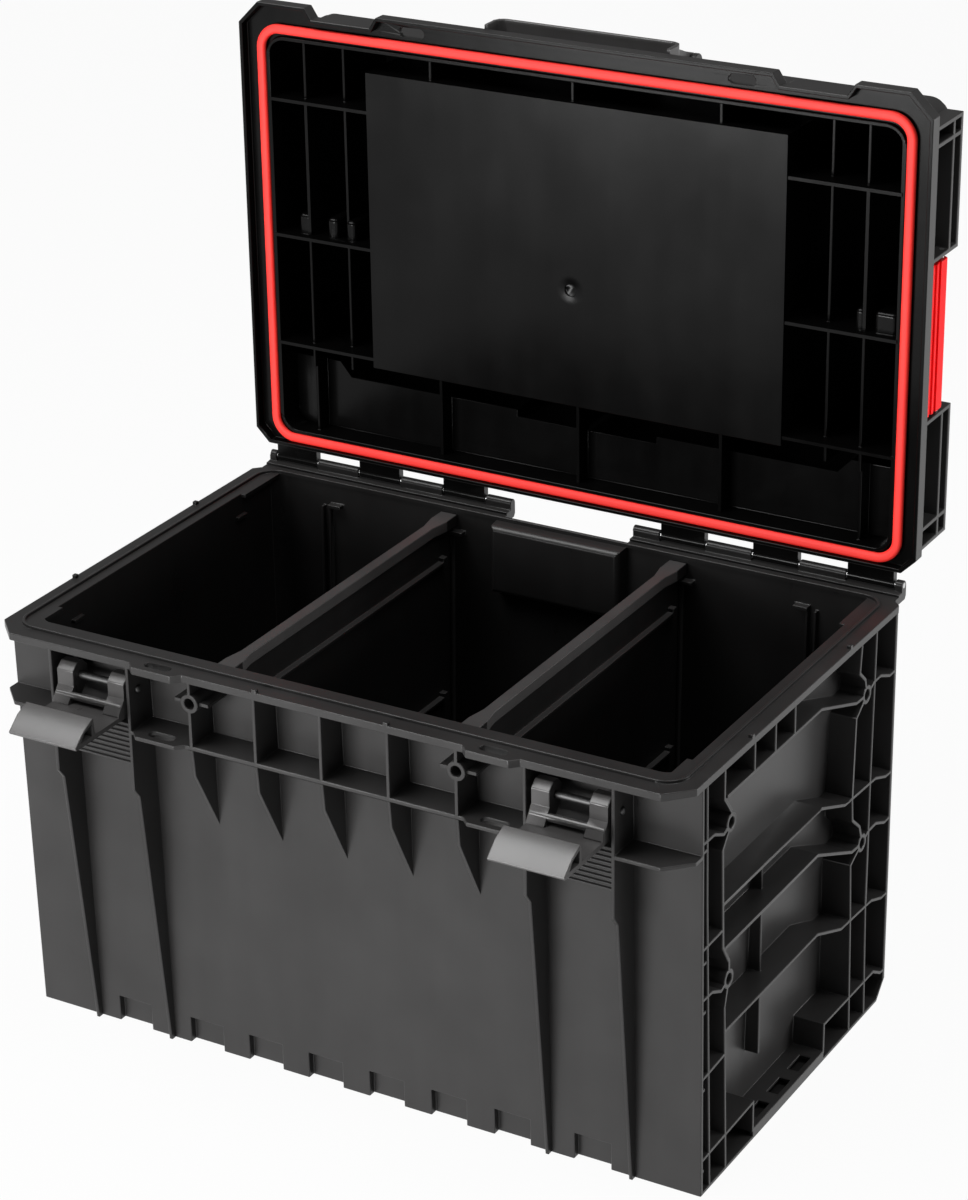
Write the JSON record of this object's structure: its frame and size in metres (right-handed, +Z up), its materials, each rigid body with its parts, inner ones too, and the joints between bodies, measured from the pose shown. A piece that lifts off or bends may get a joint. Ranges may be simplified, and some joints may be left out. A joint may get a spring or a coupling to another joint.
{
  "type": "tool case",
  "caption": "Rectangular site tool case with ribbed tub, hinged lid with seal, front lever latches, lift-out dividers, folding carry handle and side stacking latches.",
  "frame": {"origin": "bottom centre of the base, on the floor under the tub, midway between the two sides", "axes": "+X to the right seen from the front, +Y from the latches to the hinges, +Z up"},
  "size_m": [0.59, 0.5158, 0.7293],
  "materials": {
    "black_plastic": "satin black moulded plastic",
    "red_rubber": "smooth red sealing cord",
    "red_plastic": "red moulded plastic",
    "steel": "plain steel pin"
  },
  "bodies": {
    "base": {"base_shell": "black_plastic", "latch_pin_right": "steel", "latch_pin_left": "steel", "hinge_pin_inner_right": "steel", "hinge_pin_middle_right": "steel", "hinge_pin_outer_right": "steel", "hinge_pin_inner_left": "steel", "hinge_pin_middle_left": "steel", "hinge_pin_outer_left": "steel"},
    "lid": {"lid_shell": "black_plastic", "lid_seal": "red_rubber", "handle_pin_right": "steel", "handle_pin_left": "steel", "stack_latch_pin_right": "steel", "stack_latch_pin_left": "steel"},
    "handle": {"carry_handle": "black_plastic"},
    "latch_right": {"latch_lever_right": "black_plastic"},
    "stack_latch_right": {"stack_latch_right": "red_plastic"},
    "divider_right": {"divider_right": "black_plastic"},
    "latch_left": {"latch_lever_left": "black_plastic"},
    "stack_latch_left": {"stack_latch_left": "red_plastic"},
    "divider_left": {"divider_left": "black_plastic"}
  },
  "joints": [
    {"name": "lid_hinge", "type": "hinge", "parent": "base", "child": "lid", "pos_m": [0, 0.1936, 0.3423], "axis": [1, 0, 0], "range_deg": [0, 90]},
    {"name": "latch_right_pivot", "type": "hinge", "parent": "base", "child": "latch_right", "pos_m": [0.201, -0.1725, 0.3095], "axis": [-1, 0, 0], "range_deg": [0, 90]},
    {"name": "latch_left_pivot", "type": "hinge", "parent": "base", "child": "latch_left", "pos_m": [-0.201, -0.1725, 0.3095], "axis": [-1, 0, 0], "range_deg": [0, 90]},
    {"name": "handle_pivot", "type": "hinge", "parent": "lid", "child": "handle", "pos_m": [0, 0.2453, 0.7083], "axis": [-1, 0, 0], "range_deg": [0, 95]},
    {"name": "stack_latch_right_pivot", "type": "hinge", "parent": "lid", "child": "stack_latch_right", "pos_m": [0.28, 0.2493, 0.5263], "axis": [0, 0, 1], "range_deg": [0, 170]},
    {"name": "stack_latch_left_pivot", "type": "hinge", "parent": "lid", "child": "stack_latch_left", "pos_m": [-0.28, 0.2493, 0.5263], "axis": [0, 0, -1], "range_deg": [0, 170]},
    {"name": "divider_right_lift", "type": "slide", "parent": "base", "child": "divider_right", "axis": [0, 0, -1], "range_m": [-0.28, 0]},
    {"name": "divider_left_lift", "type": "slide", "parent": "base", "child": "divider_left", "axis": [0, 0, -1], "range_m": [-0.28, 0]}
  ]
}
